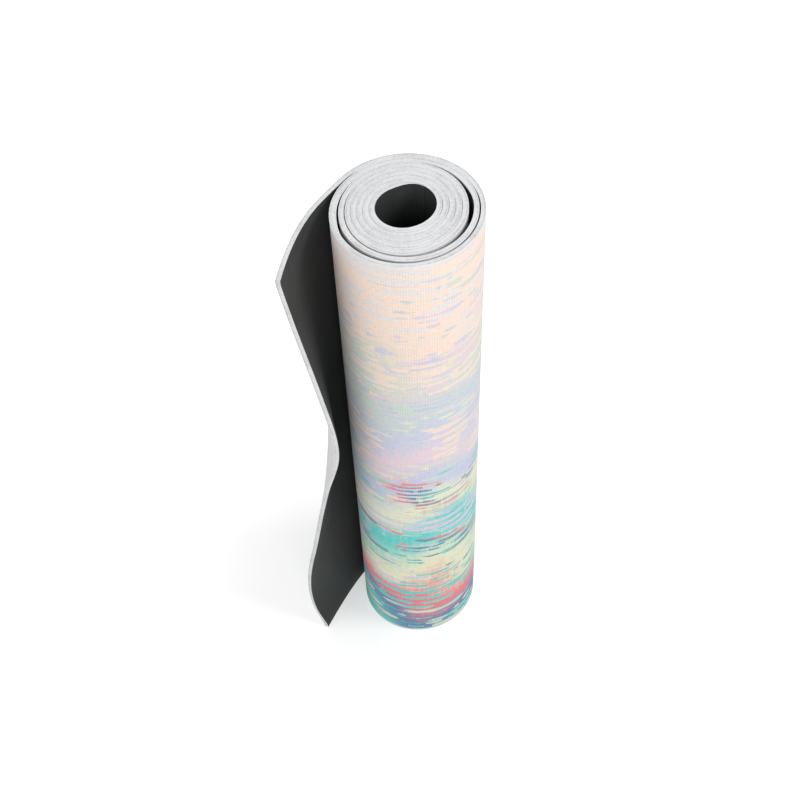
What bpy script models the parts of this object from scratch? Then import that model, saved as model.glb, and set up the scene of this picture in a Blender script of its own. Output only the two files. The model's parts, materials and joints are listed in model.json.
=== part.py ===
"""A yoga mat, rolled up and stood on end, with its outer end hanging loose beside the roll.

The mat is one long sheet of three bonded layers: a printed cloth face, a pale foam core and
a thin black rubber base. It is wound with the printed face outwards. The wound part is one
spiral strip, a little askew, so that its inner turns stand slightly proud at the top. The
loose end leaves it at the back left and flares towards the viewer.

The sheet bends anywhere, so its outer end is cut into four stretches that turn on upright
lines in the middle of the foam: the roll itself, the last stretch that lies on it, and the
root and the tip of the loose flap.

Metres, +Z up. The origin is on the floor, in the middle of the whole mat's outline.
"""

import math

import bmesh
import bpy
from mathutils import Vector

# The sheet and its layers
MAT_WIDTH = 0.610
FACE_THICK = 0.0004
CORE_THICK = 0.0030
BASE_THICK = 0.0004
BOND_GAP = 0.0003
SHEET_THICK = FACE_THICK + BOND_GAP + CORE_THICK + BOND_GAP + BASE_THICK

# The roll, seen from above about its winding axis
LEAVE_RADIUS = 0.06235
BORE_RADIUS = 0.02165
TURN_GAP = 0.00067
LEAVE_ANGLE = math.radians(143)
OVAL_RISE = 0.00125
OVAL_ANGLE = math.radians(16)
BORE_DRIFT = 0.00145
TURN_PITCH = SHEET_THICK + TURN_GAP
TURNS = (LEAVE_RADIUS - SHEET_THICK - BORE_RADIUS) / TURN_PITCH
STEPS_PER_TURN = 36
CLIMB = 0.0030
CLIMB_FIRST_TURN = 1.0

# Slack in the roll: the turns inside it are drawn in over a part of the circle
SIDE_SLACK = 0.0030
SIDE_SLACK_ANGLE = math.radians(-5)
SIDE_SLACK_REACH = math.radians(120)
SIDE_SLACK_TURN = 1.7
FRONT_SLACK = 0.0007
FRONT_SLACK_ANGLE = math.radians(-110)
FRONT_SLACK_REACH = math.radians(180)
FRONT_SLACK_TURN = 0.8
SLACK_FADE_TURNS = 0.4

# The loose flap, along the sheet from where it leaves the roll
FLAP_LENGTH_TOP = 0.1152
FLAP_LENGTH_BOTTOM = 0.1028
ROOT_START = 0.008
TIP_START = 0.030
ROOT_CURL = math.radians(4.1)
EDGE_BAND = 0.005
# By share of the mat's width: how far the sheet has turned at its cut end, in degrees, and
# how much of that comes early, so that the last of the sheet is nearly flat
CURL_BY_HEIGHT_SHARE = (
    (0, 12.2, 1.0),
    (0.06, -2.5, 1.0),
    (0.14, -3.1, 1.0),
    (0.32, 17.0, 1.6),
    (0.50, 33.6, 2.0),
    (0.61, 46.6, 1.9),
    (0.75, 44.5, 1.4),
    (1, 28.8, 0.7),
)
TIP_ROWS = 14
TIP_STEPS = 9
ROOT_STEPS = 3

# Where the outer stretch starts to turn, and how far each line bends either way
WRAP_START = math.radians(70)
WRAP_OPEN = math.radians(15)
ROOT_OPEN = math.radians(12)
TIP_OPEN = math.radians(24)
SWING_CLEARANCE = 0.00006

FACE_COLOUR = (0.88, 0.74, 0.64, 1)
CORE_COLOUR = (0.70, 0.71, 0.74, 1)
BASE_COLOUR = (0.03, 0.032, 0.031, 1)


def smooth(share):
    """Rises from 0 to 1 with level ends."""
    share = min(1, max(0, share))
    return share * share * (3 - 2 * share)


def drawn_in(turned, depth, middle, reach, first_turn):
    """How far slack outside this place draws it in, from the slack's first turn inwards."""
    off_middle = (LEAVE_ANGLE - turned - middle + math.pi) % math.tau - math.pi
    if abs(off_middle) > reach:
        return 0
    share = (1 + math.cos(math.pi * off_middle / reach)) / 2
    return depth * share * smooth((turned / math.tau - first_turn) / SLACK_FADE_TURNS)


def wound_point(turned):
    """The middle of the sheet, wound inwards by this angle from where the flap leaves."""
    angle = LEAVE_ANGLE - turned
    turns = turned / math.tau
    radius = LEAVE_RADIUS - SHEET_THICK / 2 - TURN_PITCH * turns
    radius += OVAL_RISE * math.cos(2 * (angle - OVAL_ANGLE))
    radius -= drawn_in(turned, SIDE_SLACK, SIDE_SLACK_ANGLE, SIDE_SLACK_REACH, SIDE_SLACK_TURN)
    radius -= drawn_in(turned, FRONT_SLACK, FRONT_SLACK_ANGLE, FRONT_SLACK_REACH, FRONT_SLACK_TURN)
    drift = BORE_DRIFT * max(0, turns) / TURNS
    return Vector((radius * math.cos(angle), drift + radius * math.sin(angle)))


def lift(turned):
    """How far the sheet's lower edge has climbed there."""
    return CLIMB * max(0, turned / math.tau - CLIMB_FIRST_TURN) / (TURNS - CLIMB_FIRST_TURN)


def wound_heading(turned):
    """The way the sheet runs there, towards its loose end."""
    step = math.radians(0.5)
    run = wound_point(turned - step) - wound_point(turned + step)
    return math.atan2(run.y, run.x)


def curl_value(height_share, column):
    """The curl's value at this height, on a smooth curve through the listed ones."""
    stops = CURL_BY_HEIGHT_SHARE
    last = len(stops) - 1
    at = max(i for i in range(last) if stops[i][0] <= height_share)

    def slope(i):
        before, after = stops[max(0, i - 1)], stops[min(last, i + 1)]
        return (after[column] - before[column]) / (after[0] - before[0])

    span = stops[at + 1][0] - stops[at][0]
    t = (height_share - stops[at][0]) / span
    value = (2 * t**3 - 3 * t**2 + 1) * stops[at][column]
    value += (t**3 - 2 * t**2 + t) * span * slope(at)
    value += (3 * t**2 - 2 * t**3) * stops[at + 1][column]
    return value + (t**3 - t**2) * span * slope(at + 1)


def flap_length(height_share):
    return FLAP_LENGTH_BOTTOM + (FLAP_LENGTH_TOP - FLAP_LENGTH_BOTTOM) * height_share


def flap_heading(along, height_share):
    start = wound_heading(0)
    if along <= TIP_START:
        return start + ROOT_CURL * along / TIP_START
    share = (along - TIP_START) / (flap_length(height_share) - TIP_START)
    share += curl_value(height_share, 2) * share * (1 - share)
    tip_curl = math.radians(curl_value(height_share, 1))
    return start + ROOT_CURL + (tip_curl - ROOT_CURL) * share


def flap_point(along, height_share):
    """The middle of the sheet at this distance from the roll, summed in short straight steps."""
    steps = 48
    step = along / steps
    point = wound_point(0)
    for i in range(steps):
        heading = flap_heading((i + 0.5) * step, height_share)
        point += step * Vector((math.cos(heading), math.sin(heading)))
    return point


def outward(heading):
    """The side of the printed face, which is on the right of the way the sheet runs."""
    return Vector((math.sin(heading), -math.cos(heading)))


def wound_stretch(inner, outer):
    """Points from the inner angle out to the outer one, at the same angles in every turn."""
    step = math.tau / STEPS_PER_TURN
    between = [i * step for i in range(math.ceil(inner / step), -1, -1)]
    angles = [inner] + [a for a in between if outer + step / 8 < a < inner - step / 8] + [outer]
    return [Vector((*wound_point(a), lift(a))) for a in angles]


def flap_stretch(start, end, steps, height_share=0):
    alongs = [start + (end - start) * i / steps for i in range(steps + 1)]
    return [Vector((*flap_point(along, height_share), 0)) for along in alongs]


def upright(points):
    """A lower and an upper row of the same points."""
    return [points, [point + Vector((0, 0, MAT_WIDTH)) for point in points]]


def setback(reach, opening):
    """How far a layer stops short of a turning line, so that its corners never meet."""
    return SWING_CLEARANCE + reach * math.tan(opening / 2)


def tip_height_shares():
    """Rows up the flap's tip: an upright band at each edge, and even rows between."""
    band = EDGE_BAND / MAT_WIDTH
    rows = [band + (1 - 2 * band) * i / TIP_ROWS for i in range(TIP_ROWS + 1)]
    return [0] + rows + [1]


def tip_rows(start):
    """The tip's points in each row, with the bands at the edges as the rows beside them."""
    band = EDGE_BAND / MAT_WIDTH
    rows = []
    for share in tip_height_shares():
        bend_share = min(1, max(0, (share - band) / (1 - 2 * band)))
        points = flap_stretch(start, flap_length(bend_share), TIP_STEPS, bend_share)
        rows.append([point + Vector((0, 0, share * MAT_WIDTH)) for point in points])
    return rows


def whole_outline():
    """Points all round the mat, on both faces, to find its middle."""
    half = SHEET_THICK / 2
    points = []
    for i in range(STEPS_PER_TURN + 1):
        turned = i * math.tau / STEPS_PER_TURN
        points.append(wound_point(turned) + half * outward(wound_heading(turned)))
    for share in tip_height_shares():
        for i in range(TIP_STEPS + 1):
            along = TIP_START + (flap_length(share) - TIP_START) * i / TIP_STEPS
            side = half * outward(flap_heading(along, share))
            points += [flap_point(along, share) + side, flap_point(along, share) - side]
    return points


OUTLINE = whole_outline()
MIDDLE = Vector(
    (
        (min(p.x for p in OUTLINE) + max(p.x for p in OUTLINE)) / 2,
        (min(p.y for p in OUTLINE) + max(p.y for p in OUTLINE)) / 2,
        0,
    )
)


def least_turn_gap():
    """The least space between one turn's inner side and the next turn's outer side."""
    half = SHEET_THICK / 2
    step = math.tau / STEPS_PER_TURN
    count = int(TURNS * STEPS_PER_TURN)
    inner_side, outer_side = [], []
    for i in range(count + 1):
        side = half * outward(wound_heading(i * step))
        inner_side.append(wound_point(i * step) - side)
        outer_side.append(wound_point(i * step) + side)
    least = LEAVE_RADIUS
    for i in range(count + 1 - STEPS_PER_TURN):
        over = i + STEPS_PER_TURN
        for j in range(over - 2, min(over + 2, count)):
            start, run = outer_side[j], outer_side[j + 1] - outer_side[j]
            share = (inner_side[i] - start).dot(run) / run.length_squared
            foot = start + run * min(1, max(0, share))
            least = min(least, (inner_side[i] - foot).length)
    return least


def clear_scene():
    for old in list(bpy.data.objects):
        bpy.data.objects.remove(old, do_unlink=True)


def material(name, colour, roughness):
    made = bpy.data.materials.new(name)
    made.use_nodes = True
    shader = made.node_tree.nodes["Principled BSDF"]
    shader.inputs["Base Color"].default_value = colour
    shader.inputs["Roughness"].default_value = roughness
    shader.inputs["Metallic"].default_value = 0
    return made


def turning_line(name, place, parent=None):
    """An empty on an upright line that a stretch of the sheet turns about."""
    line = bpy.data.objects.new(name, None)
    line.location = place.to_3d() - MIDDLE
    if parent is not None:
        line.parent = parent
        line.location -= parent.matrix_world.translation
    PARTS.objects.link(line)
    bpy.context.view_layer.update()
    return line


def sheet_surface(name, rows):
    """An open surface through rows of points, with its faces towards the printed side."""
    made = bmesh.new()
    grid = [[made.verts.new(point - MIDDLE) for point in row] for row in rows]
    for low, high in zip(grid, grid[1:]):
        for i in range(len(low) - 1):
            made.faces.new((low[i], low[i + 1], high[i + 1], high[i]))
    mesh = bpy.data.meshes.new(name)
    made.to_mesh(mesh)
    made.free()
    return mesh


# Each layer: its name, its inner and outer side from the middle of the sheet, its material
LAYERS = (
    ("rubber_base", -SHEET_THICK / 2, BASE_THICK - SHEET_THICK / 2, ("black_rubber", BASE_COLOUR, 0.75)),
    ("foam_core", -CORE_THICK / 2, CORE_THICK / 2, ("pale_foam", CORE_COLOUR, 0.9)),
    ("printed_face", SHEET_THICK / 2 - FACE_THICK, SHEET_THICK / 2, ("printed_cloth", FACE_COLOUR, 0.95)),
)


def add_stretch(stretch, rows_of, line):
    """The three layers of one stretch of the sheet, each as thick as it is, side by side."""
    for layer, inner, outer, finish in LAYERS:
        name = f"{stretch}_{layer}"
        rows = rows_of(max(abs(inner), abs(outer)))
        piece = bpy.data.objects.new(name, sheet_surface(name, rows))
        PARTS.objects.link(piece)
        if line is not None:
            piece.data.transform(line.matrix_world.inverted())
            piece.parent = line
        thicken = piece.modifiers.new("thickness", "SOLIDIFY")
        thicken.thickness = outer - inner
        thicken.offset = (inner + outer) / (outer - inner)
        thicken.use_even_offset = True
        piece.data.materials.append(material(f"{name}_{finish[0]}", *finish[1:]))
        piece.data.shade_smooth()


clear_scene()
PARTS = bpy.data.collections.new("yoga_mat")
bpy.context.scene.collection.children.link(PARTS)

INNER_END = TURNS * math.tau
WRAP_RADIUS = wound_point(WRAP_START).length

wrap_line = turning_line("outer_wrap_line", wound_point(WRAP_START))
root_line = turning_line("flap_root_line", flap_point(ROOT_START, 0), wrap_line)
tip_line = turning_line("flap_tip_line", flap_point(TIP_START, 0), root_line)


def roll_rows(reach):
    start = WRAP_START + setback(reach, WRAP_OPEN) / WRAP_RADIUS
    return upright(wound_stretch(INNER_END, start))


def wrap_rows(reach):
    start = WRAP_START - setback(reach, WRAP_OPEN) / WRAP_RADIUS
    end = ROOT_START - setback(reach, ROOT_OPEN)
    return upright(wound_stretch(start, 0) + flap_stretch(0, end, 1)[1:])


def root_rows(reach):
    start = ROOT_START + setback(reach, ROOT_OPEN)
    end = TIP_START - setback(reach, TIP_OPEN)
    return upright(flap_stretch(start, end, ROOT_STEPS))


def flared_rows(reach):
    return tip_rows(TIP_START + setback(reach, TIP_OPEN))


add_stretch("roll", roll_rows, None)
add_stretch("outer_wrap", wrap_rows, wrap_line)
add_stretch("flap_root", root_rows, root_line)
add_stretch("flap_tip", flared_rows, tip_line)

WOUND = wound_stretch(INNER_END, 0)
WOUND_LENGTH = sum((b - a).length for a, b in zip(WOUND, WOUND[1:]))
print(f"turns {TURNS:.2f}, sheet {SHEET_THICK * 1000:.1f} mm thick")
print(f"flat size {MAT_WIDTH:.3f} by {WOUND_LENGTH + FLAP_LENGTH_TOP:.3f} m")
print(f"least gap between turns {least_turn_gap() * 1000:.2f} mm")
for line in (wrap_line, root_line, tip_line):
    print(line.name, [round(c, 6) for c in line.matrix_world.translation])
print("winding axis", [round(c, 6) for c in -MIDDLE])
print("hollow's axis", [round(c, 6) for c in Vector((0, BORE_DRIFT, 0)) - MIDDLE])
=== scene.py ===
"""The looks of a rolled yoga mat that stands on end, with its outer end hanging loose.

The mat is one sheet of three layers that are glued together: a foam core, a rubber base and a
printed cloth face. The sections below make them in that order, then the floor, the light and
the camera. Each layer is made in four stretches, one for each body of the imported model: the
roll, the outer wrap that lies on it, and the root and the tip of the loose flap.
"""

import json
import math

import bmesh
import bpy
from mathutils import Matrix, Vector


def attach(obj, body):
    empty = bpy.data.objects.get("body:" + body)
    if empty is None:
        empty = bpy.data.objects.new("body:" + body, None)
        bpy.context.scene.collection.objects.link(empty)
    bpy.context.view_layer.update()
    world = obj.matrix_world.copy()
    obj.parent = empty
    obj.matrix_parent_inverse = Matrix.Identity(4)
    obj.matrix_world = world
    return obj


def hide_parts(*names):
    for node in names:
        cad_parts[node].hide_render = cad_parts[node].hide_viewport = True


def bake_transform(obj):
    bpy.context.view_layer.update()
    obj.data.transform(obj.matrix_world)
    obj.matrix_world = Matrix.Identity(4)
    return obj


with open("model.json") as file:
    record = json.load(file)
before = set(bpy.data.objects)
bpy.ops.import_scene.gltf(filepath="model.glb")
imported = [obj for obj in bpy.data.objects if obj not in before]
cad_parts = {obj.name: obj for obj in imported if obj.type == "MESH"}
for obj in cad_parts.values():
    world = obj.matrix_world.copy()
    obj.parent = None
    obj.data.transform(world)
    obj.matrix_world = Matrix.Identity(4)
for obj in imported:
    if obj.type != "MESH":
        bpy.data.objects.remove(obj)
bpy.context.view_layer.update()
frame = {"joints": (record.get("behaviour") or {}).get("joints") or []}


# Foam core
#
# The thick middle of the mat: a sheet of closed foam in two plies, cut square at its edges.
# It is what winds into seven turns, so the way the whole sheet runs is worked out here. The
# cloth and the rubber are glued to its sides, and its pale cut edge shows all round.

MAT_WIDTH = 0.610
SHEET_THICK = 0.0044
CORE_SIDES = (-0.00195, 0.00175)  # inner and outer, from the middle of the sheet
CORE_ROUNDING = 0.00014
CORNER_STEPS = 3
SWOLLEN_RIM = 0.0035  # how far in from the mat's long edges the foam swells between turns

LEAVE_RADIUS = 0.06235  # of the roll's outer side, where the flap leaves it
BORE_RADIUS = 0.02165
TURN_PITCH = 0.00507

# Lengths in metres, angles round the roll from the right, and turns inwards from where the
# flap leaves. A slack stretch is drawn in, by a length, about an angle and from a turn on.
ROLL_SIZES = {
    "Radius": LEAVE_RADIUS - SHEET_THICK / 2,
    "Turn Pitch": TURN_PITCH,
    "Turns": (LEAVE_RADIUS - SHEET_THICK - BORE_RADIUS) / TURN_PITCH,
    "Leave Angle": math.radians(143),
    "Oval Rise": 0.00125,
    "Oval Angle": math.radians(16),
    "Bore Drift": 0.00145,
    "Climb": 0.0030,
    "Climb First Turn": 1.0,
    "Side Slack": 0.0030,
    "Side Slack Angle": math.radians(-5),
    "Side Slack Reach": math.radians(120),
    "Side Slack Turn": 1.7,
    "Front Slack": 0.0007,
    "Front Slack Angle": math.radians(-110),
    "Front Slack Reach": math.radians(180),
    "Front Slack Turn": 0.8,
    "Slack Fade": 0.4,
    "Left Slack": 0.0017,
    "Left Slack Angle": math.radians(188),
    "Left Slack Reach": math.radians(100),
    "Left Slack Turn": 1.35,
    "Left Slack Kept": 0.6,
    "Left Slack Spent Over": 4.0,
    "Most Pressed": 0.0006,
    "Least Gap": 0.00008,
    "Press Start": math.radians(20),
    "Press End": 0.06,
    "Inner Press Turn": 1.9,
    "Inner Press Fade": 0.5,
    "Back Press Angle": math.radians(85),
    "Back Press From": 0.15,
    "Back Press Rise": 0.50,
    "Left Press": 0.0007,
    "Left Press Angle": math.radians(160),
    "Left Press From": 0.62,
    "Left Press Rise": 0.30,
    "Left Press Turn": 1.1,
    "Left Press Fade": 0.2,
    "Right Ease": 0.30,
    "Right Ease Angle": 0.0,
    "Right Ease From": 0.80,
    "Right Ease Rise": 0.20,
    "Sheet Thick": SHEET_THICK,
    "Tail Turns": 0.085,
    "Thinned Turns": 0.175,
    "Thinned Share": 0.99,
}
STEP = math.radians(2)
RUN_STEP = math.radians(0.5)

# The loose flap, along the sheet from where it leaves the roll
FLAP_LENGTH_TOP = 0.1152
FLAP_LENGTH_BOTTOM = 0.1028
CURL_START = 0.030
ROOT_CURL = math.radians(4.1)
EDGE_BAND = 0.005
# By share of the mat's width: how far the sheet has turned at its cut end, in degrees, and
# how much of that comes early, so that the last of the sheet is nearly flat
CURL_BY_HEIGHT_SHARE = (
    (0, 12.2, 1.0),
    (0.06, -2.5, 1.0),
    (0.14, -3.1, 1.0),
    (0.32, 17.0, 1.6),
    (0.50, 33.6, 2.0),
    (0.61, 46.6, 1.9),
    (0.75, 44.5, 1.4),
    (1, 28.8, 0.7),
)

# Where the stretches meet, each in the middle of a part that doesn't bend
ROLL_END = math.radians(103)
WRAP_END = math.radians(35)
ROOT_END = 0.019
# The turning lines, and how far the sheet bends each side of them
WRAP_BEND, WRAP_BEND_REACH = math.radians(70), 0.010
ROOT_BEND, ROOT_BEND_REACH = 0.008, 0.008
TIP_BEND, TIP_BEND_REACH = 0.030, 0.008


class Field:
    """A value in a node tree, so that a rule can be written as plain arithmetic."""

    def __init__(self, tree, socket):
        self.tree, self.socket = tree, socket

    def math(self, operation, *others):
        node = self.tree.nodes.new("ShaderNodeMath")
        node.operation = operation
        for place, value in zip(node.inputs, (self, *others)):
            if isinstance(value, Field):
                self.tree.links.new(value.socket, place)
            else:
                place.default_value = value
        return Field(self.tree, node.outputs[0])

    def __add__(self, other):
        return self.math("ADD", other)

    def __sub__(self, other):
        return self.math("SUBTRACT", other)

    def __rsub__(self, other):
        return self.math("MULTIPLY_ADD", -1.0, other)

    def __mul__(self, other):
        return self.math("MULTIPLY", other)

    def __truediv__(self, other):
        return self.math("DIVIDE", other)

    def __pow__(self, other):
        return self.math("POWER", other)

    def __abs__(self):
        return self.math("ABSOLUTE")

    __radd__, __rmul__ = __add__, __mul__


def cosine(angle):
    return angle.math("COSINE") if isinstance(angle, Field) else math.cos(angle)


def sine(angle):
    return angle.math("SINE") if isinstance(angle, Field) else math.sin(angle)


def held(value, low=0.0, high=1.0):
    if isinstance(value, Field):
        return value.math("MAXIMUM", low).math("MINIMUM", high)
    return min(high, max(low, value))


def half_turn_off(angle):
    """The same angle, from half a turn back to half a turn on."""
    if isinstance(angle, Field):
        return angle.math("WRAP", math.pi, -math.pi)
    return (angle + math.pi) % math.tau - math.pi


def smooth(share):
    """Rises from 0 to 1 with level ends."""
    share = held(share)
    return share * share * (3 - 2 * share)


def drawn_in(turned, size, slack):
    """How far slack outside this place draws the sheet in."""
    off_middle = half_turn_off(size["Leave Angle"] - turned - size[f"{slack} Angle"])
    share = (1 + cosine(math.pi * held(off_middle / size[f"{slack} Reach"], -1.0, 1.0))) / 2
    turns_on = turned / math.tau - size[f"{slack} Turn"]
    return size[slack] * share * smooth(turns_on / size["Slack Fade"])


def wound_place(turned, size):
    """The middle of the sheet, wound inwards by this angle from where the flap leaves."""
    angle = size["Leave Angle"] - turned
    turns = turned / math.tau
    radius = size["Radius"] - size["Turn Pitch"] * turns
    radius = radius + size["Oval Rise"] * cosine(2 * (angle - size["Oval Angle"]))
    radius = radius - drawn_in(turned, size, "Side Slack") - drawn_in(turned, size, "Front Slack")
    on = turns - size["Left Slack Turn"] - size["Left Slack Kept"]
    left_over = 1 - smooth(on / size["Left Slack Spent Over"])
    radius = radius - drawn_in(turned, size, "Left Slack") * left_over
    drift = size["Bore Drift"] * held(turns / size["Turns"])
    return radius * cosine(angle), drift + radius * sine(angle)


def wound_run(turned, size):
    """The way the sheet runs there, towards its loose end, as a direction one long."""
    ahead, behind = wound_place(turned - RUN_STEP, size), wound_place(turned + RUN_STEP, size)
    across, away = ahead[0] - behind[0], ahead[1] - behind[1]
    length = (across * across + away * away) ** 0.5
    return across / length, away / length


def lift(turned, size):
    """How far the sheet's lower edge has climbed there, because the roll is a little askew."""
    first = size["Climb First Turn"]
    return size["Climb"] * held((turned / math.tau - first) / (size["Turns"] - first))


def about(angle, size, name):
    """1 about a named angle and 0 away from it, by the cosine of what lies between."""
    near = cosine(angle - size[f"{name} Angle"]) - size[f"{name} From"]
    return smooth(near / size[f"{name} Rise"])


def pressed(turned, size):
    """How far the foam swells at its rim into the gap that the solids keep between turns, and
    round the rubber's edge: all the way at the back and in the inner turns, partly at the left
    of the outermost turn, and not where the photograph shows a gap."""
    here, inside = wound_place(turned, size), wound_place(turned + math.tau, size)
    across, away = here[0] - inside[0], here[1] - inside[1]
    gap = (across * across + away * away) ** 0.5 - size["Sheet Thick"]
    angle, turns = size["Leave Angle"] - turned, turned / math.tau
    back = about(angle, size, "Back Press")
    eased = about(angle, size, "Right Ease") * size["Right Ease"]
    inner = smooth((turns - size["Inner Press Turn"]) / size["Inner Press Fade"]) * (1 - eased)
    left = about(angle, size, "Left Press")
    left = left * (1 - smooth((turns - size["Left Press Turn"]) / size["Left Press Fade"]))
    # None where the outer wrap starts to leave the roll, or inside the innermost turn
    held_down = smooth(turned / size["Press Start"])
    covered = smooth((size["Turns"] - 1 - turns) / size["Press End"])
    share = (1 - (1 - back) * (1 - inner) * (1 - left)) * held_down * covered
    most = size["Most Pressed"] + left * size["Left Press"]
    rubber = CORE_SIDES[0] + size["Sheet Thick"] / 2
    return (held(gap - size["Least Gap"], 0.0, most) + rubber) * share


def rim_share(up):
    """1 at the mat's long edges, down to 0 where the swollen rim ends."""
    return held(1 - (MAT_WIDTH / 2 - abs(up - MAT_WIDTH / 2)) / SWOLLEN_RIM)


def shaped(across, turned, swell, size):
    """A place across the sheet, moved as the sheet is shaped there. The foam swells where it
    is pressed, from the cloth's side inwards. The inner end is thinned towards the cloth's
    side, so that it leaves no step in the hollow."""
    inwards = held((CORE_SIDES[1] - across) / (CORE_SIDES[1] - CORE_SIDES[0]))
    across = across - inwards * swell * pressed(turned, size)
    from_end = size["Turns"] + size["Tail Turns"] - turned / math.tau
    at_end = smooth(1 - from_end / size["Thinned Turns"])
    outer_side = size["Sheet Thick"] / 2
    return outer_side - (outer_side - across) * (1 - at_end * size["Thinned Share"])


# The solids say where the roll's axis stands: their first turning line is on the sheet.
turning_place = next(j["pos_m"] for j in frame["joints"] if j["name"] == "outer_wrap_bend")
on_the_sheet = wound_place(WRAP_BEND, ROLL_SIZES)
AXIS = (turning_place[0] - on_the_sheet[0], turning_place[1] - on_the_sheet[1])


NEARLY_HALF = 0.499  # the corners of an outline are further out than this share of its height


def layer_tree():
    """A layer wound from one angle to another, with its outline rounded at the corners.
    Each point keeps its place in the flat sheet: along, up and across."""
    tree = bpy.data.node_groups.new("wound layer", "GeometryNodeTree")
    sockets = tree.interface
    sockets.new_socket("Mesh", in_out="OUTPUT", socket_type="NodeSocketGeometry")
    sizes = [*ROLL_SIZES, "Start", "End", "Along", "Width", "Inner Side", "Outer Side"]
    for name in [*sizes, "Set In", "Rounding", "Swell", "Axis X", "Axis Y"]:
        sockets.new_socket(name, in_out="INPUT", socket_type="NodeSocketFloat")
    sockets.new_socket("Steps", in_out="INPUT", socket_type="NodeSocketInt")
    sockets.new_socket("Material", in_out="INPUT", socket_type="NodeSocketMaterial")
    given = tree.nodes.new("NodeGroupInput")
    size = {s.name: Field(tree, s) for s in given.outputs if s.type == "VALUE"}

    def node(kind, **settings):
        made = tree.nodes.new(kind)
        for name, value in settings.items():
            setattr(made, name, value)
        return made

    def feed(value, place):
        tree.links.new(value.socket if isinstance(value, Field) else value, place)

    def joined(x, y, z=None):
        made = node("ShaderNodeCombineXYZ")
        for value, place in zip((x, y, z), made.inputs):
            if value is not None:
                feed(value, place)
        return made.outputs[0]

    def kept(geometry, **values):
        """Stores values on the geometry's points, and gives them back as fields."""
        made = node("GeometryNodeCaptureAttribute", domain="POINT")
        feed(geometry, made.inputs[0])
        for at, (name, value) in enumerate(values.items(), start=1):
            made.capture_items.new("FLOAT", name)
            feed(value, made.inputs[at])
        fields = [Field(tree, made.outputs[at]) for at in range(1, len(values) + 1)]
        return made.outputs[0], *fields

    # The line that the sheet follows
    line = node("GeometryNodeCurvePrimitiveLine")
    spaced = node("GeometryNodeResampleCurve", mode="COUNT")
    feed(line.outputs[0], spaced.inputs["Curve"])
    count = node("ShaderNodeMath", operation="ADD")
    feed(given.outputs["Steps"], count.inputs[0])
    count.inputs[1].default_value = 1
    feed(count.outputs[0], spaced.inputs["Count"])
    share = Field(tree, node("GeometryNodeSplineParameter").outputs["Factor"])
    turned = size["Start"] + (size["End"] - size["Start"]) * share
    path, turned = kept(spaced.outputs[0], turned=turned)
    bent = node("GeometryNodeSetPosition")
    feed(path, bent.inputs["Geometry"])
    feed(joined(*wound_place(turned, size)), bent.inputs["Position"])
    length = Field(tree, node("GeometryNodeSplineParameter").outputs["Length"])
    path, along = kept(bent.outputs[0], along=length + size["Along"])

    # The layer's outline, cut across
    outline = node("GeometryNodeCurvePrimitiveQuadrilateral")
    thick, height = size["Outer Side"] - size["Inner Side"], size["Width"] - size["Set In"] * 2
    feed(thick, outline.inputs["Width"])
    feed(height, outline.inputs["Height"])
    place = node("ShaderNodeSeparateXYZ")
    feed(node("GeometryNodeInputPosition").outputs[0], place.inputs[0])
    x, y = Field(tree, place.outputs["X"]), Field(tree, place.outputs["Y"])
    # Two more points on each side, which on the long ones go to where the rim ends
    divided = node("GeometryNodeSubdivideCurve")
    feed(outline.outputs[0], divided.inputs["Curve"])
    divided.inputs["Cuts"].default_value = 2
    off_ends = abs(y).math("LESS_THAN", height / 4)
    rim_end = y.math("SIGN") * (height / 2 - SWOLLEN_RIM)
    rimmed = node("GeometryNodeSetPosition")
    feed(divided.outputs[0], rimmed.inputs["Geometry"])
    feed(joined(x, y + (rim_end - y) * off_ends), rimmed.inputs["Position"])
    rounded = node("GeometryNodeFilletCurve", mode="POLY")
    feed(rimmed.outputs[0], rounded.inputs["Curve"])
    rounded.inputs["Count"].default_value = CORNER_STEPS
    at_corner = abs(y).math("GREATER_THAN", height * NEARLY_HALF)
    at_corner = abs(x).math("GREATER_THAN", thick / 4) * at_corner
    feed(size["Rounding"] * at_corner, rounded.inputs["Radius"])
    across = x + (size["Outer Side"] + size["Inner Side"]) / 2
    up = y + size["Width"] / 2
    outline, across, up = kept(rounded.outputs[0], across=across, up=up)

    swept = node("GeometryNodeCurveToMesh")
    feed(path, swept.inputs["Curve"])
    feed(outline, swept.inputs["Profile Curve"])
    swept.inputs["Fill Caps"].default_value = True
    x, y = wound_place(turned, size)
    run_x, run_y = wound_run(turned, size)
    out = shaped(across, turned, size["Swell"] * rim_share(up), size)
    wound = node("GeometryNodeSetPosition")
    feed(swept.outputs[0], wound.inputs["Geometry"])
    x = x + run_y * out + size["Axis X"]
    y = y - run_x * out + size["Axis Y"]
    feed(joined(x, y, up + lift(turned, size)), wound.inputs["Position"])

    stored = node("GeometryNodeStoreNamedAttribute", data_type="FLOAT_VECTOR", domain="POINT")
    feed(wound.outputs[0], stored.inputs["Geometry"])
    stored.inputs["Name"].default_value = "flat_place"
    feed(joined(along, up, across), stored.inputs["Value"])
    shaded = node("GeometryNodeSetShadeSmooth")
    feed(stored.outputs[0], shaded.inputs["Geometry"])
    realized = node("GeometryNodeRealizeInstances")
    feed(shaded.outputs[0], realized.inputs[0])
    finished = node("GeometryNodeSetMaterial")
    feed(realized.outputs[0], finished.inputs["Geometry"])
    feed(given.outputs["Material"], finished.inputs["Material"])
    feed(finished.outputs[0], node("NodeGroupOutput").inputs[0])
    return tree


LAYER_TREE = layer_tree()


def wound_length(inner, outer):
    """The sheet's length between two angles, positive from the inner to the outer."""
    steps = math.ceil(abs(inner - outer) / STEP)
    step = (outer - inner) / steps
    places = [wound_place(inner + step * i, ROLL_SIZES) for i in range(steps + 1)]
    return sum(math.dist(a, b) for a, b in zip(places, places[1:]))


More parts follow.
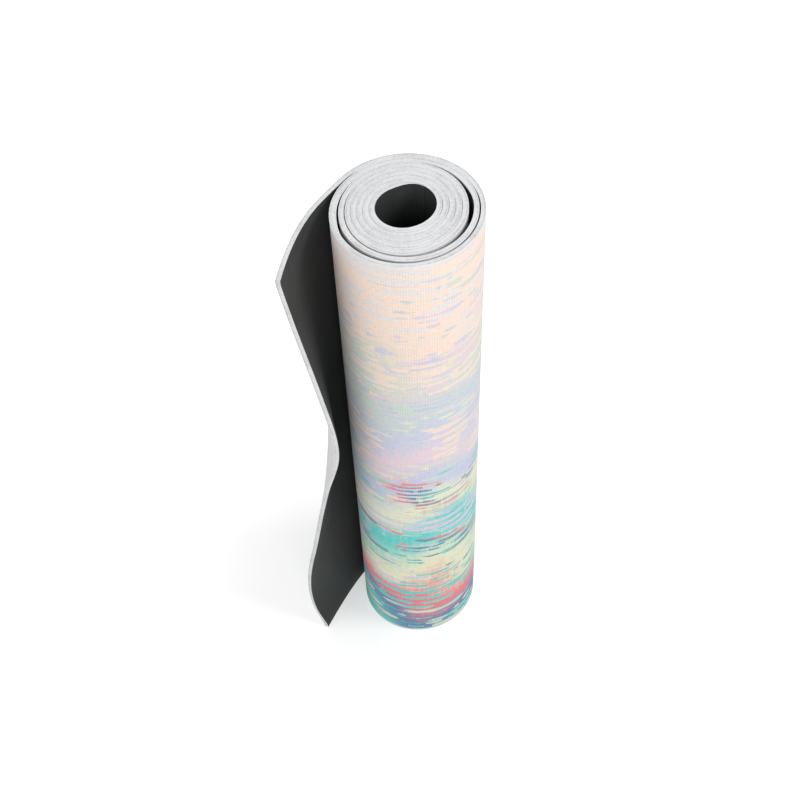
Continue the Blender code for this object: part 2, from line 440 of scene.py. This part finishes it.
INNER_END = (ROLL_SIZES["Turns"] + ROLL_SIZES["Tail Turns"]) * math.tau
WOUND_LENGTH = wound_length(INNER_END, 0)


SHARP_FROM = math.radians(50)


def finish_mesh(piece):
    """Smooth sides, sharp cuts, and shading that keeps the long sides flat."""
    piece.data.set_sharp_from_angle(angle=SHARP_FROM)
    weighted = piece.modifiers.new("even shading", "WEIGHTED_NORMAL")
    weighted.keep_sharp = True
    weighted.weight = 100


def wound_layer(name, start, end, along, layer):
    """One wound stretch of a layer, as a plain mesh made by the tree."""
    maker = bpy.data.objects.new(f"{name} maker", bpy.data.meshes.new(name))
    bpy.context.collection.objects.link(maker)
    wind = maker.modifiers.new("wind", "NODES")
    wind.node_group = LAYER_TREE
    values = dict(ROLL_SIZES)
    values.update({"Start": start, "End": end, "Along": along, "Width": MAT_WIDTH})
    values.update({"Inner Side": layer["sides"][0], "Outer Side": layer["sides"][1]})
    values.update({"Rounding": layer["rounding"], "Set In": layer["set_in"]})
    values.update({"Swell": layer["swell"], "Material": layer["material"]})
    values.update({"Axis X": AXIS[0], "Axis Y": AXIS[1]})
    values["Steps"] = math.ceil(abs(start - end) / STEP)
    for socket in LAYER_TREE.interface.items_tree:
        if socket.in_out == "INPUT":
            wind[socket.identifier] = values[socket.name]
    made = maker.evaluated_get(bpy.context.evaluated_depsgraph_get())
    piece = bpy.data.objects.new(name, bpy.data.meshes.new_from_object(made))
    bpy.context.collection.objects.link(piece)
    bpy.data.objects.remove(maker)
    finish_mesh(piece)
    return piece


def curl_value(height_share, column):
    """The curl's value at this height, on a smooth curve through the listed ones."""
    stops = CURL_BY_HEIGHT_SHARE
    last = len(stops) - 1
    at = max(i for i in range(last) if stops[i][0] <= height_share)

    def slope(i):
        before, after = stops[max(0, i - 1)], stops[min(last, i + 1)]
        return (after[column] - before[column]) / (after[0] - before[0])

    span = stops[at + 1][0] - stops[at][0]
    way = (height_share - stops[at][0]) / span
    value = (2 * way**3 - 3 * way**2 + 1) * stops[at][column]
    value += (way**3 - 2 * way**2 + way) * span * slope(at)
    value += (3 * way**2 - 2 * way**3) * stops[at + 1][column]
    return value + (way**3 - way**2) * span * slope(at + 1)


def flap_length(height_share):
    return FLAP_LENGTH_BOTTOM + (FLAP_LENGTH_TOP - FLAP_LENGTH_BOTTOM) * height_share


LEAVING = math.atan2(*reversed(wound_run(0, ROLL_SIZES)))


def flap_heading(along, height_share):
    if along <= CURL_START:
        return LEAVING + ROOT_CURL * along / CURL_START
    share = (along - CURL_START) / (flap_length(height_share) - CURL_START)
    share += curl_value(height_share, 2) * share * (1 - share)
    tip_curl = math.radians(curl_value(height_share, 1))
    return LEAVING + ROOT_CURL + (tip_curl - ROOT_CURL) * share


FLAP_STEPS = 48


def flap_place(along, height_share):
    """The middle of the sheet at this distance from the roll, summed in short straight steps."""
    step = along / FLAP_STEPS
    x, y = wound_place(0, ROLL_SIZES)
    for i in range(FLAP_STEPS):
        heading = flap_heading((i + 0.5) * step, height_share)
        x, y = x + step * math.cos(heading), y + step * math.sin(heading)
    return x, y


def curl_share(height):
    """The share of the mat's width that sets the curl: it holds still in a band at each edge."""
    band = EDGE_BAND / MAT_WIDTH
    return held((height / MAT_WIDTH - band) / (1 - 2 * band))


def sheet_place(along, height, across, swell):
    """A point of the flat sheet, in its place near the loose end: along is 0 where the flap
    leaves the roll, and less than 0 on the roll."""
    share = curl_share(height)
    if along > 0:
        (x, y), heading = flap_place(along, share), flap_heading(along, share)
        run = math.cos(heading), math.sin(heading)
    else:
        turned = -along * WRAP_END / WRAP_END_LENGTH
        (x, y), run = wound_place(turned, ROLL_SIZES), wound_run(turned, ROLL_SIZES)
        across = shaped(across, turned, swell * rim_share(height), ROLL_SIZES)
    return Vector((x + run[1] * across + AXIS[0], y - run[0] * across + AXIS[1], height))


WRAP_END_LENGTH = wound_length(WRAP_END, 0)


def corner_points(rounding):
    """Points round a rounded corner, as how far each lies in from the one side and back from
    the other."""
    angles = [i * math.pi / 2 / CORNER_STEPS for i in range(CORNER_STEPS + 1)]
    return [(rounding * (1 - math.cos(a)), rounding * (1 - math.sin(a))) for a in angles]


def cut_outline(layer, rows):
    """Points round a layer cut across, as across and up: up its outer side, then down its
    inner one."""
    sides, set_in = layer["sides"], layer["set_in"]
    low = [(inwards, back + set_in) for inwards, back in reversed(corner_points(layer["rounding"]))]
    heights = [MAT_WIDTH * i / rows for i in range(1, rows)]
    heights = [SWOLLEN_RIM, *heights, MAT_WIDTH - SWOLLEN_RIM]
    half = low + [(0, height) for height in heights]
    half += [(inwards, MAT_WIDTH - up) for inwards, up in reversed(low)]
    outer = [(sides[1] - inwards, up) for inwards, up in half]
    return outer + [(sides[0] + inwards, up) for inwards, up in reversed(half)]


def flap_layer(name, start, end_of, grid, layer, cut_end=False):
    """One stretch of a layer that ends in the flap. end_of gives its end by height share, and
    at the mat's cut end its corners are rounded."""
    columns, rows = grid
    outline = cut_outline(layer, rows)
    set_in = layer["set_in"]
    middle = sum(layer["sides"]) / 2
    half = (layer["sides"][1] - layer["sides"][0]) / 2
    # Each ring's share of the way to the end, how far back from there, and how far in
    stations = [(i / columns, 0, 0) for i in range(columns + 1)]
    if cut_end:
        corner = corner_points(layer["rounding"])
        stations[-1:] = [(1, back + set_in, inwards) for inwards, back in corner]
    made = bmesh.new()
    flat_place = made.verts.layers.float_vector.new("flat_place")
    rings = []
    for share, back, inwards in stations:
        ring = []
        for across, up in outline:
            end = end_of(curl_share(up))
            along = start + (end - start) * share - back
            across = middle + (across - middle) * (half - inwards) / half
            height = held(up, set_in + inwards, MAT_WIDTH - set_in - inwards)
            point = made.verts.new(sheet_place(along, height, across, layer["swell"]))
            point[flat_place] = (WOUND_LENGTH + along, height, across)
            ring.append(point)
        rings.append(ring)
    count = len(outline)
    for behind, ahead in zip(rings, rings[1:]):
        for i in range(count):
            on = (i + 1) % count
            made.faces.new((behind[i], ahead[i], ahead[on], behind[on]))
    for ring in (rings[0], rings[-1]):
        for i in range(count // 2 - 1):
            made.faces.new((ring[i], ring[i + 1], ring[count - 2 - i], ring[count - 1 - i]))
    bmesh.ops.recalc_face_normals(made, faces=made.faces)
    mesh = bpy.data.meshes.new(name)
    made.to_mesh(mesh)
    made.free()
    mesh.materials.append(layer["material"])
    mesh.shade_smooth()
    piece = bpy.data.objects.new(name, mesh)
    bpy.context.collection.objects.link(piece)
    finish_mesh(piece)
    return piece


def bend_ends(along, reach, turned=None):
    """The two points, on the sheet's middle, between which it bends about a turning line."""
    if turned is not None:
        (x, y), run = wound_place(turned, ROLL_SIZES), wound_run(turned, ROLL_SIZES)
    else:
        (x, y), heading = flap_place(along, 0), flap_heading(along, 0)
        run = math.cos(heading), math.sin(heading)
    line = Vector((x + AXIS[0], y + AXIS[1], 0))
    side = Vector((*run, 0)) * reach
    return line - side, line + side


ROOT_GRID = (36, 8)  # columns along the sheet and rows up it
TIP_GRID = (56, 72)


def make_layer(name, node_end, layer):
    """The four stretches of a layer, each in place of its solid, which is hidden; only the roll's
    stretch is put on its body.
    """
    wrap_start = wound_length(INNER_END, ROLL_END)
    roll = wound_layer(f"roll_{name}", INNER_END, ROLL_END, 0, layer)
    wrap = wound_layer(f"outer_wrap_{name}", ROLL_END, WRAP_END, wrap_start, layer)
    root = flap_layer(
        f"flap_root_{name}", -WRAP_END_LENGTH, lambda share: ROOT_END, ROOT_GRID, layer
    )
    tip = flap_layer(f"flap_tip_{name}", ROOT_END, flap_length, TIP_GRID, layer, cut_end=True)
    lengths = {
        "roll": wrap_start,
        "outer_wrap": wound_length(ROLL_END, WRAP_END),
        "flap_root": WRAP_END_LENGTH + ROOT_END,
        "flap_tip": (FLAP_LENGTH_TOP + FLAP_LENGTH_BOTTOM) / 2 - ROOT_END,
    }
    pieces = dict(zip(lengths, (roll, wrap, root, tip)))
    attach(roll, "roll")
    bend_ends(None, WRAP_BEND_REACH, WRAP_BEND)
    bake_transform(wrap)
    bend_ends(ROOT_BEND, ROOT_BEND_REACH)
    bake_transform(root)
    bend_ends(TIP_BEND, TIP_BEND_REACH)
    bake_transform(tip)
    for stretch, piece in pieces.items():
        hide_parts(f"{stretch}_{node_end}")
    return pieces


def tint(red, green, blue):
    """A colour as it looks on a screen, 0 to 255, in the amounts that light adds up in."""
    amounts = [c / 255 for c in (red, green, blue)]
    amounts = [c / 12.92 if c <= 0.04045 else ((c + 0.055) / 1.055) ** 2.4 for c in amounts]
    return (*amounts, 1.0)


def new_material(name, roughness):
    made = bpy.data.materials.new(name)
    made.use_nodes = True
    shader = made.node_tree.nodes["Principled BSDF"]
    shader.inputs["Roughness"].default_value = roughness
    return made, made.node_tree, shader


def flat_place_fields(tree):
    """The flat sheet's place as a vector, and along, up and across as fields."""
    source = tree.nodes.new("ShaderNodeAttribute")
    source.attribute_name = "flat_place"
    split = tree.nodes.new("ShaderNodeSeparateXYZ")
    tree.links.new(source.outputs["Vector"], split.inputs[0])
    return source.outputs["Vector"], *[Field(tree, s) for s in split.outputs]


def vector_of(tree, x, y, z=None):
    made = tree.nodes.new("ShaderNodeCombineXYZ")
    for value, place in zip((x, y, z), made.inputs):
        if isinstance(value, Field):
            tree.links.new(value.socket, place)
        elif value is not None:
            place.default_value = value
    return made.outputs[0]


def noise(tree, place, scale=1.0, detail=2.0, roughness=0.5):
    """Soft noise from 0 to 1 with its middle at 0.5. The scale is how often it changes in one
    unit of the place."""
    made = tree.nodes.new("ShaderNodeTexNoise")
    tree.links.new(place, made.inputs["Vector"])
    made.inputs["Scale"].default_value = scale
    made.inputs["Detail"].default_value = detail
    made.inputs["Roughness"].default_value = roughness
    return Field(tree, made.outputs["Fac"])


def mixed(tree, share, first, second, blend="MIX"):
    """Two colours mixed: each is a colour or a socket, and share a number or a field."""
    made = tree.nodes.new("ShaderNodeMix")
    made.data_type, made.blend_type = "RGBA", blend
    for value, at in ((share, 0), (first, 6), (second, 7)):
        place = made.inputs[at]
        if isinstance(value, Field):
            tree.links.new(value.socket, place)
        elif isinstance(value, bpy.types.NodeSocket):
            tree.links.new(value, place)
        else:
            place.default_value = value
    return made.outputs[2]


def bumped(tree, shader, height, distance, strength):
    made = tree.nodes.new("ShaderNodeBump")
    made.inputs["Strength"].default_value = strength
    made.inputs["Distance"].default_value = distance
    tree.links.new(height.socket, made.inputs["Height"])
    tree.links.new(made.outputs[0], shader.inputs["Normal"])


FOAM_DARK, FOAM_PALE = (150, 151, 153), (219, 220, 222)
FOAM_SHADE = 0.91  # the share of the pale foam, with up to 1.15 where it is palest
FOAM_PALEST = 1.15
# Each by how many there are in a metre, and by how much it shades the foam
CELLS, CELLS_SHADE = 1500, 0.5
MOTTLE, MOTTLE_SHADE = 520, 1.15
PATCHES, PATCHES_SHADE = 60, 0.7
PLY_LINE = 0.0006  # where the plies meet, from the middle of the sheet
PLY_LINE_REACH, PLY_LINE_SHADE = 0.00025, 0.12
OUTER_PLY_FADE, OUTER_PLY_SHADE = 0.0002, 0.22
CELL_DEPTH = 0.00025
CELLS_DEPTH_SHARE = 0.4  # the rest of the depth is the mottle's


def foam_material():
    """Pale closed foam: fine cells, a mottle left by the knife, and the line of its plies."""
    made, tree, shader = new_material("pale foam", roughness=0.9)
    place, _, _, across = flat_place_fields(tree)
    cells = noise(tree, place, CELLS, roughness=0.6)
    mottle = noise(tree, place, MOTTLE, detail=3.0, roughness=0.7)
    patches = noise(tree, place, PATCHES)
    shade = FOAM_SHADE + (cells - 0.5) * CELLS_SHADE + (mottle - 0.5) * MOTTLE_SHADE
    shade = shade + (patches - 0.5) * PATCHES_SHADE
    ply_line = 1 - smooth(abs(across - PLY_LINE) / PLY_LINE_REACH)
    outer_ply = smooth((across - PLY_LINE) / OUTER_PLY_FADE + 0.5)
    shade = shade - ply_line * PLY_LINE_SHADE - outer_ply * OUTER_PLY_SHADE
    colour = mixed(tree, held(shade, 0.0, FOAM_PALEST), tint(*FOAM_DARK), tint(*FOAM_PALE))
    tree.links.new(colour, shader.inputs["Base Color"])
    depth = cells * CELLS_DEPTH_SHARE + mottle * (1 - CELLS_DEPTH_SHARE)
    bumped(tree, shader, depth, CELL_DEPTH, strength=0.6)
    return made


CORE = {
    "sides": CORE_SIDES,
    "rounding": CORE_ROUNDING,
    "set_in": 0.0,
    "swell": 1.0,
    "material": foam_material(),
    "slot": "pale_foam",
}
core = make_layer("core", "foam_core", CORE)


# Rubber base
#
# The thin black underside that grips the floor: natural rubber pressed on a fine cloth, which
# leaves a matt, finely ribbed skin. It is glued to the core and lies inside every turn.

BASE_SIDES = (-0.00220, -0.00195)
BASE_ROUNDING = 0.00008
BASE_SET_IN = 0.0003

RUBBER_DARK, RUBBER_PALE = (45, 46, 46), (65, 67, 67)
RUBBER_SHADE = 0.45
RUBBER_ROUGHNESS, RUBBED_ROUGHNESS = 0.62, 0.16  # all over, and how far rubbing changes it
GRAIN, GRAIN_SHADE = 1800, 0.6
RUBBED, RUBBED_SHADE = 26, 0.7
RIB_PITCH, RIB_SHADE = 0.0020, 0.34
RIB_DEPTH = 0.00008


def rubber_material():
    """Black rubber with a fine woven print, rubbed a little paler in patches."""
    made, tree, shader = new_material("black rubber", RUBBER_ROUGHNESS)
    place, along, up, _ = flat_place_fields(tree)
    grain = noise(tree, place, GRAIN, roughness=0.6)
    rubbed = noise(tree, place, RUBBED, detail=3.0, roughness=0.6)
    ribs = sine(along * (math.tau / RIB_PITCH)) * 0.5 + sine(up * (math.tau / RIB_PITCH)) * 0.5
    shade = RUBBER_SHADE + (grain - 0.5) * GRAIN_SHADE + (rubbed - 0.5) * RUBBED_SHADE
    shade = shade + ribs * RIB_SHADE
    colour = mixed(tree, held(shade), tint(*RUBBER_DARK), tint(*RUBBER_PALE))
    tree.links.new(colour, shader.inputs["Base Color"])
    roughness = RUBBER_ROUGHNESS + (rubbed - 0.5) * RUBBED_ROUGHNESS
    tree.links.new(roughness.socket, shader.inputs["Roughness"])
    bumped(tree, shader, grain * 0.5 + ribs * 0.5, RIB_DEPTH, strength=0.7)
    shader.inputs["Specular IOR Level"].default_value = 0.15
    return made


BASE = {
    "sides": BASE_SIDES,
    "rounding": BASE_ROUNDING,
    "set_in": BASE_SET_IN,
    "swell": 0.0,
    "material": rubber_material(),
    "slot": "black_rubber",
}
base = make_layer("base", "rubber_base", BASE)


# Printed face
#
# The side that is stood on: a thin brushed cloth of fine fibres, printed in bands of pale
# colour with long dabs over them, and glued to the core. Its cut edge and a strip along the
# loose end are left unprinted.

FACE_SIDES = (0.00175, 0.00220)
FACE_ROUNDING = 0.00012
THREAD_PITCH = 0.0021
DOT_HEIGHT = 0.0014  # the print's smallest step up, and a thread's pitch is its step along

# The bands of the print, by share of the mat's width from the bottom
BANDS_BY_HEIGHT_SHARE = (
    (0.00, (64, 204, 198)),
    (0.07, (72, 114, 161)),
    (0.14, (236, 110, 122)),
    (0.21, (231, 231, 196)),
    (0.31, (64, 207, 199)),
    (0.39, (229, 233, 203)),
    (0.49, (193, 200, 226)),
    (0.58, (232, 208, 220)),
    (0.65, (200, 207, 227)),
    (0.72, (204, 217, 208)),
    (0.81, (249, 223, 205)),
    (0.94, (249, 225, 209)),
    (1.00, (230, 226, 226)),
)


# How far the bands stray from level, as a share of the mat's width, and how often that changes
# in a metre, along and up: in wide waves, in a soft edge and in streaks of thread
WANDER_SHARE, WANDER_RATES = 0.36, (7.0, 4.5)
FEATHER_SHARE, FEATHER_RATES = 0.06, (260.0, 30.0)
FRINGE_SHARE, FRINGE_RATES = 0.05, (26.0, 300.0)

# The rows of dashes, each with the height of a row, the length of a dash, the share of the row
# that it fills each side of its middle, the least noise that makes one, a seed, and a strength
DASH_LAYERS = (
    (0.0112, 0.050, 0.27, 0.48, 3.0, 0.85),
    (0.0063, 0.021, 0.28, 0.54, 11.0, 0.90),
    (0.0042, 0.080, 0.24, 0.61, 23.0, 0.70),
)
ROW_DRIFT, ROW_DRIFT_RATE = 0.014, 5.0
ROW_SHIFT_SHARE, ROW_SHIFT_STEP = 0.5, 2.61  # how unevenly rows are spaced
ROW_STEP = 7.31  # rows lie this far apart in the noise, so that they differ
CALM, CALM_RATES = 0.55, (11.0, 13.0)
DASH_FULL, DASH_EDGE, DASH_TIP = 0.05, 0.05, 0.01
CHANCE_RATES = (6.0, 16.0)
# A dash has the colour of a band this share of the width away, and further as chance has it
OTHER_BAND_SHARE, OTHER_BAND_CHANCE = 0.13, 0.9


def band_ramp(tree, share):
    made = tree.nodes.new("ShaderNodeValToRGB")
    made.color_ramp.interpolation = "EASE"
    stops = made.color_ramp.elements
    for at, (height, colour) in enumerate(BANDS_BY_HEIGHT_SHARE):
        stop = stops[at] if at < 2 else stops.new(height)  # a new ramp has two stops
        stop.position = height
        stop.color = tint(*colour)
    tree.links.new(share.socket, made.inputs["Fac"])
    return made.outputs["Color"]


def dashes(tree, along, up, row_height, length, half_thick, least, seed):
    """Long marks in rows, each tapering at its ends, and fewer of them in calm stretches:
    whether one is here, and a chance for its colour that neighbours share."""
    drift_place = vector_of(tree, along * ROW_DRIFT_RATE, seed)
    drift = noise(tree, drift_place, detail=1.0) * ROW_DRIFT
    at = (up + drift) / row_height
    row = at.math("FLOOR")
    aside = noise(tree, vector_of(tree, row * ROW_SHIFT_STEP, seed), detail=0.0) - 0.5
    from_middle = abs(at.math("FRACT") - 0.5 - aside * ROW_SHIFT_SHARE)
    here = noise(tree, vector_of(tree, along / length, row * ROW_STEP + seed), detail=1.0)
    calm_place = vector_of(tree, along * CALM_RATES[0], up * CALM_RATES[1] + seed)
    over = here - least - (noise(tree, calm_place, detail=1.0) - 0.5) * CALM
    mark = smooth((held(over / DASH_FULL) * half_thick - from_middle) / DASH_EDGE + 0.5)
    mark = mark * smooth(over / DASH_TIP)
    chance_place = vector_of(tree, along * CHANCE_RATES[0], up * CHANCE_RATES[1], seed)
    return mark, noise(tree, chance_place, detail=0.0)


def printed_colour(tree, along, up):
    """The print, in steps of a thread: bands with feathered edges, and rows of dashes in the
    colours of other bands. Its fringe is given back too, for the print's end."""
    along = ((along / THREAD_PITCH).math("FLOOR") + 0.5) * THREAD_PITCH
    up_dot = ((up / DOT_HEIGHT).math("FLOOR") + 0.5) * DOT_HEIGHT

    def stray(rates, detail, roughness):
        place = vector_of(tree, along * rates[0], up_dot * rates[1])
        return noise(tree, place, detail=detail, roughness=roughness) - 0.5

    wander = stray(WANDER_RATES, detail=1.0, roughness=0.5)
    feather = stray(FEATHER_RATES, detail=2.0, roughness=0.7)
    fringe = stray(FRINGE_RATES, detail=2.0, roughness=0.6)
    share = up / MAT_WIDTH + wander * WANDER_SHARE
    share = share + feather * FEATHER_SHARE + fringe * FRINGE_SHARE
    colour = band_ramp(tree, held(share))
    for *dash, strength in DASH_LAYERS:
        mark, chance = dashes(tree, along, up_dot, *dash)
        side = chance.math("GREATER_THAN", 0.5) * 2 - 1
        other = share + side * OTHER_BAND_SHARE + (chance - 0.5) * OTHER_BAND_CHANCE
        colour = mixed(tree, mark * strength, colour, band_ramp(tree, held(other)))
    return colour, fringe


THREAD_FILL = 2.2
FIBRE_RATES, HEATHER_RATES = (700.0, 1400.0), (240.0, 700.0)  # in a metre, along and up
# The colour of the brushed fibres and of the gaps between threads, each with its strength, its
# share all over, and how far the threads, the fibres and the heather change that share
BRUSHED, BRUSHED_STRENGTH = (246, 244, 240), 0.24
BRUSHED_SHARE, BRUSHED_BY_THREADS, BRUSHED_BY_FIBRES, BRUSHED_BY_HEATHER = 0.4, 0.14, 0.6, 1.2
BETWEEN_THREADS, BETWEEN_STRENGTH = (182, 184, 192), 0.34
BETWEEN_SHARE, BETWEEN_BY_THREADS, BETWEEN_BY_HEATHER = 0.35, 0.26, 1.8
THREAD_DEPTH = 0.00012
THREADS_DEPTH_SHARE = 0.35  # the rest of the depth is the fibres'

# The plain cloth at the loose end, and the plain edge along the top and the bottom
UNDYED_DARK, UNDYED_PALE, UNDYED_BY_HEATHER = (217, 217, 217), (235, 235, 234), 1.2
PLAIN_END, PLAIN_END_FRINGE, PLAIN_END_FADE = 0.038, 0.016, 0.002
PLAIN_EDGE, PLAIN_EDGE_FADE, PLAIN_EDGE_POWER = 0.0060, 0.0050, 1.6


def cloth_material():
    """Brushed cloth with its print, and a fine weave that breaks it up."""
    made, tree, shader = new_material("printed cloth", roughness=0.92)
    _, along, up, across = flat_place_fields(tree)
    colour, fringe = printed_colour(tree, along, up)

    warp = (along / THREAD_PITCH).math("PINGPONG", 0.5) * 2
    weft = (up / THREAD_PITCH).math("PINGPONG", 0.5) * 2
    threads = held(warp * THREAD_FILL) * held(weft * THREAD_FILL) * 2 - 1
    rate_along, rate_up = FIBRE_RATES
    fibre_place = vector_of(tree, along * rate_along, up * rate_up, across * rate_up)
    fibres = noise(tree, fibre_place, roughness=0.6)
    heather_place = vector_of(tree, along * HEATHER_RATES[0], up * HEATHER_RATES[1])
    heather = noise(tree, heather_place, roughness=0.7)
    pale = BRUSHED_SHARE + threads * BRUSHED_BY_THREADS + (fibres - 0.5) * BRUSHED_BY_FIBRES
    pale = held(pale + (heather - 0.5) * BRUSHED_BY_HEATHER)
    colour = mixed(tree, pale * BRUSHED_STRENGTH, colour, tint(*BRUSHED))
    dark = BETWEEN_SHARE - threads * BETWEEN_BY_THREADS - (heather - 0.5) * BETWEEN_BY_HEATHER
    dark_tint = tint(*BETWEEN_THREADS)
    colour = mixed(tree, held(dark) * BETWEEN_STRENGTH, colour, dark_tint, "MULTIPLY")

    flap_long = (up / MAT_WIDTH) * (FLAP_LENGTH_TOP - FLAP_LENGTH_BOTTOM) + FLAP_LENGTH_BOTTOM
    past_print = along - (flap_long + WOUND_LENGTH - PLAIN_END)
    at_end = smooth((past_print + fringe * PLAIN_END_FRINGE) / PLAIN_END_FADE)
    from_edge = MAT_WIDTH / 2 - abs(up - MAT_WIDTH / 2)
    at_edge = held((PLAIN_EDGE - from_edge) / PLAIN_EDGE_FADE) ** PLAIN_EDGE_POWER
    plain = 1 - (1 - at_end) * (1 - at_edge)
    undyed = held(0.5 + (heather - 0.5) * UNDYED_BY_HEATHER)
    undyed = mixed(tree, undyed, tint(*UNDYED_DARK), tint(*UNDYED_PALE))
    colour = mixed(tree, plain, colour, undyed)
    tree.links.new(colour, shader.inputs["Base Color"])
    shader.inputs["Sheen Weight"].default_value = 0.12
    shader.inputs["Sheen Roughness"].default_value = 0.5
    shader.inputs["Specular IOR Level"].default_value = 0.25
    depth = threads * THREADS_DEPTH_SHARE + fibres * (1 - THREADS_DEPTH_SHARE)
    bumped(tree, shader, depth, THREAD_DEPTH, strength=0.7)
    return made


FACE = {
    "sides": FACE_SIDES,
    "rounding": FACE_ROUNDING,
    "set_in": 0.0,
    "swell": 0.0,
    "material": cloth_material(),
    "slot": "printed_cloth",
}
face = make_layer("face", "printed_face", FACE)


# Floor
#
# A plain pale studio floor, large enough to fill every view. The camera sees it lifted to white by
# a painted glow, less what the mat's shadow takes away; further from the mat the glow grows, so
# that the shadow is painted out there.

FLOOR_REACH = 6.0
FLOOR_COLOUR = (0.60, 0.60, 0.60, 1)
FLOOR_GLOW = 0.425
GLOW_RISES_FROM, GLOW_RISES_OVER = 0.12, 0.36  # by the distance from the middle of the mat: a painted glow that paints out the shadow further off


def seen_directly(tree):
    """1 where the camera sees the surface, itself or in a gloss, and 0 where it gives light."""
    rays = tree.nodes.new("ShaderNodeLightPath").outputs
    seen = Field(tree, rays["Is Camera Ray"])
    for name in ("Is Glossy Ray", "Is Transmission Ray"):
        seen = seen.math("MAXIMUM", Field(tree, rays[name]))
    return seen


floor_mesh = bpy.data.meshes.new("floor")
floor_mesh.from_pydata(
    [(-FLOOR_REACH, -FLOOR_REACH, 0), (FLOOR_REACH, -FLOOR_REACH, 0),
     (FLOOR_REACH, FLOOR_REACH, 0), (-FLOOR_REACH, FLOOR_REACH, 0)],
    [], [(0, 1, 2, 3)],
)
floor = bpy.data.objects.new("floor", floor_mesh)
bpy.context.collection.objects.link(floor)


def floor_material():
    made = bpy.data.materials.new("studio floor")
    made.use_nodes = True
    tree = made.node_tree
    tree.nodes.clear()
    lit = tree.nodes.new("ShaderNodeBsdfDiffuse")
    lit.inputs["Color"].default_value = FLOOR_COLOUR
    place = tree.nodes.new("ShaderNodeTexCoord")
    distance = tree.nodes.new("ShaderNodeVectorMath")
    distance.operation = "LENGTH"
    tree.links.new(place.outputs["Object"], distance.inputs[0])
    far = smooth((Field(tree, distance.outputs["Value"]) - GLOW_RISES_FROM) / GLOW_RISES_OVER)
    strength = seen_directly(tree) * (FLOOR_GLOW + far * (1 - FLOOR_GLOW))
    glow = tree.nodes.new("ShaderNodeEmission")
    tree.links.new(strength.socket, glow.inputs["Strength"])
    both = tree.nodes.new("ShaderNodeAddShader")
    tree.links.new(lit.outputs[0], both.inputs[0])
    tree.links.new(glow.outputs[0], both.inputs[1])
    out = tree.nodes.new("ShaderNodeOutputMaterial")
    tree.links.new(both.outputs[0], out.inputs["Surface"])
    return made


floor_mesh.materials.append(floor_material())


# Light
#
# Soft studio light: a lamp high at the right for the roll's bright side, a wide one high in
# front, two weaker ones at the left and behind, and an even pale room.

ROOM_LIGHT = 0.55
LOOKED_AT = Vector((0, 0, 0.35))
# Each lamp's name, place, size and power
LAMPS = (
    ("high lamp", (1.55, -0.40, 1.9), 0.8, 22),
    ("front lamp", (-0.05, -1.85, 1.5), 1.4, 17),
    ("fill lamp", (-1.5, -0.9, 1.2), 1.6, 7),
    ("back lamp", (0.7, 1.8, 0.9), 1.4, 9),
)


def soft_lamp(name, place, size, power):
    lamp = bpy.data.lights.new(name, "AREA")
    lamp.shape = "SQUARE"
    lamp.size = size
    lamp.energy = power
    made = bpy.data.objects.new(name, lamp)
    made.location = place
    made.rotation_mode = "QUATERNION"
    made.rotation_quaternion = (LOOKED_AT - Vector(place)).to_track_quat("-Z", "Y")
    bpy.context.collection.objects.link(made)


for lamp in LAMPS:
    soft_lamp(*lamp)


def light_room():
    room = bpy.data.worlds.new("pale room")
    bpy.context.scene.world = room
    room.use_nodes = True
    tree = room.node_tree
    tree.nodes.clear()
    strength = seen_directly(tree) * (1 - ROOM_LIGHT) + ROOM_LIGHT
    back = tree.nodes.new("ShaderNodeBackground")
    tree.links.new(strength.socket, back.inputs["Strength"])
    back.inputs["Color"].default_value = (1, 1, 1, 1)
    out = tree.nodes.new("ShaderNodeOutputWorld")
    tree.links.new(back.outputs[0], out.inputs["Surface"])


light_room()


# Camera
#
# The photographer's place: in front of the mat and well above it, looking steeply down, with
# the camera turned a little about its own line of sight.

# Its place in metres, its turns in radians, and its lens and sensor in millimetres
CAMERA_BEFORE_AXIS = 0.71915
CAMERA_HEIGHT = 1.38055
CAMERA_PAN = -0.015682
CAMERA_PITCH = 0.957605
CAMERA_ROLL = -0.04653
LENS = 61.684
SENSOR = 36

pan, pitch, roll = CAMERA_PAN, CAMERA_PITCH, CAMERA_ROLL
ahead = Vector((
    math.sin(pan) * math.cos(pitch), math.cos(pan) * math.cos(pitch), -math.sin(pitch)
))
level = Vector((math.cos(pan), -math.sin(pan), 0))
upward = level.cross(ahead)
right = math.cos(roll) * level + math.sin(roll) * upward
top = math.cos(roll) * upward - math.sin(roll) * level

lens = bpy.data.cameras.new("camera")
lens.lens, lens.sensor_width = LENS, SENSOR
camera = bpy.data.objects.new("camera", lens)
camera.matrix_world = Matrix((
    (right.x, top.x, -ahead.x, AXIS[0]),
    (right.y, top.y, -ahead.y, AXIS[1] - CAMERA_BEFORE_AXIS),
    (right.z, top.z, -ahead.z, CAMERA_HEIGHT),
    (0, 0, 0, 1),
))
bpy.context.collection.objects.link(camera)
bpy.context.scene.camera = camera
bpy.context.scene.view_settings.view_transform = "Standard"
